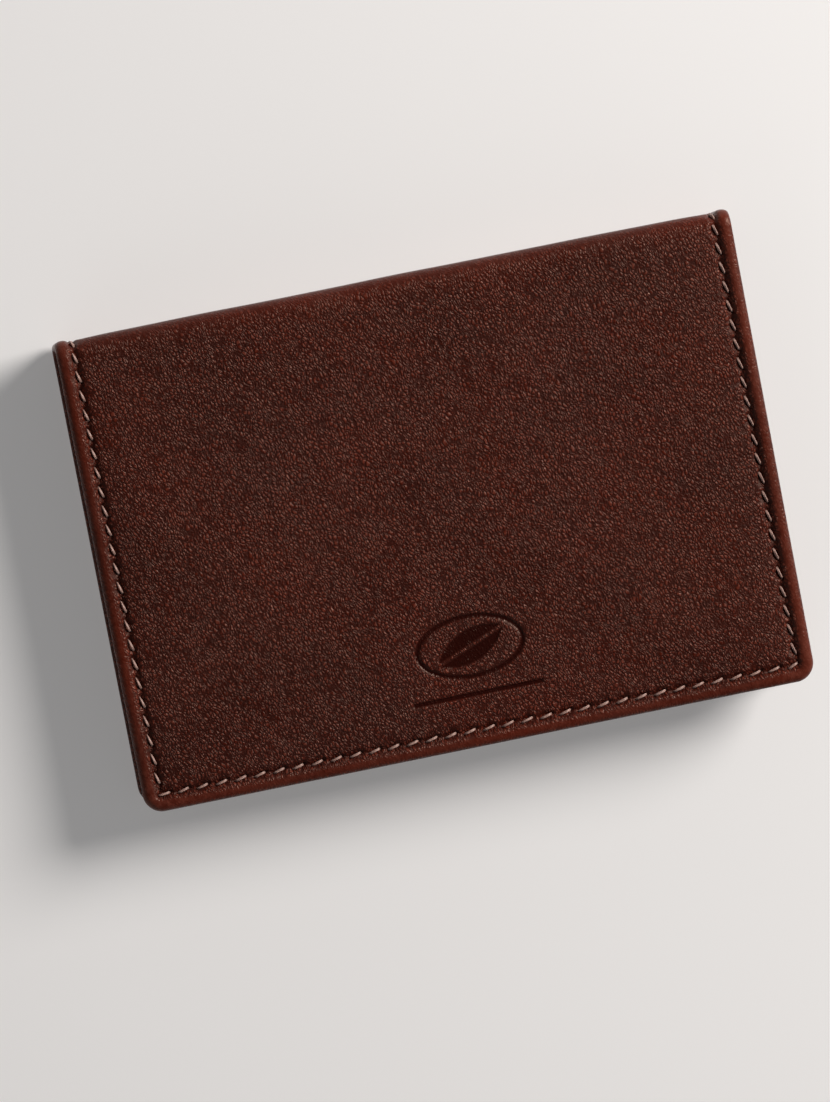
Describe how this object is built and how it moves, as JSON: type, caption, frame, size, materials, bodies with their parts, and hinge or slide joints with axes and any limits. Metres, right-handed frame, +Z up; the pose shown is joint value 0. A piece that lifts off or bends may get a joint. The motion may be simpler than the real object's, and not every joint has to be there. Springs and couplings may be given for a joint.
{
  "type": "card holder",
  "caption": "Bifold leather card holder, closed, with a stiff stitched cover, a fold along one long edge, card slots inside the front and a gusseted card pocket inside the back.",
  "frame": {"origin": "middle of the underside of the back cover's outline", "axes": "+X along the fold, +Y towards the spine, +Z up out of the front cover"},
  "size_m": [0.105, 0.0734, 0.0117],
  "materials": {
    "outer_leather": "fine pebble grain, dark reddish brown, semi-matt",
    "inner_leather": "fine grain, dark reddish brown, matt",
    "lining_fabric": "dark brown ribbed lining cloth",
    "grey_board": "plain grey pulp board",
    "thread": "twisted waxed thread, a shade lighter than the leather"
  },
  "bodies": {
    "back_panel": {"back_cover_leather": "outer_leather", "back_cover_board": "grey_board", "back_cover_lining": "lining_fabric", "back_outer_thread": "thread", "back_inner_thread": "thread"},
    "spine": {"spine_leather": "outer_leather", "spine_board": "grey_board", "spine_lining": "lining_fabric", "spine_left_thread": "thread", "spine_right_thread": "thread"},
    "front_cover": {"front_cover_leather": "outer_leather", "front_cover_board": "grey_board", "front_cover_lining": "lining_fabric", "front_outer_thread": "thread", "front_inner_thread": "thread", "rear_card_slot": "inner_leather", "rear_slot_thread": "thread", "front_card_slot": "inner_leather", "front_slot_thread": "thread"},
    "pocket": {"pocket_panel": "inner_leather", "pocket_panel_lining": "lining_fabric", "pocket_mouth_thread": "thread", "pocket_seam_thread": "thread", "pocket_gusset": "inner_leather"}
  },
  "joints": [
    {"name": "cover_fold", "type": "hinge", "parent": "spine", "child": "front_cover", "pos_m": [0, 0.03563, 0.01058], "axis": [-1, 0, 0], "range_deg": [0, 90]},
    {"name": "spine_fold", "type": "hinge", "parent": "back_panel", "child": "spine", "pos_m": [0, 0.03563, 0.00112], "axis": [-1, 0, 0], "range_deg": [0, 90]},
    {"name": "pocket_tilt", "type": "hinge", "parent": "back_panel", "child": "pocket", "pos_m": [0, -0.03555, 0.0066], "axis": [1, 0, 0], "range_deg": [0, 12], "deforming": ["pocket_gusset"]}
  ],
  "couplings": [
    {"joint": "spine_fold", "follows": "cover_fold", "ratio": 1},
    {"joint": "pocket_tilt", "follows": "cover_fold", "ratio": 0.13333}
  ]
}
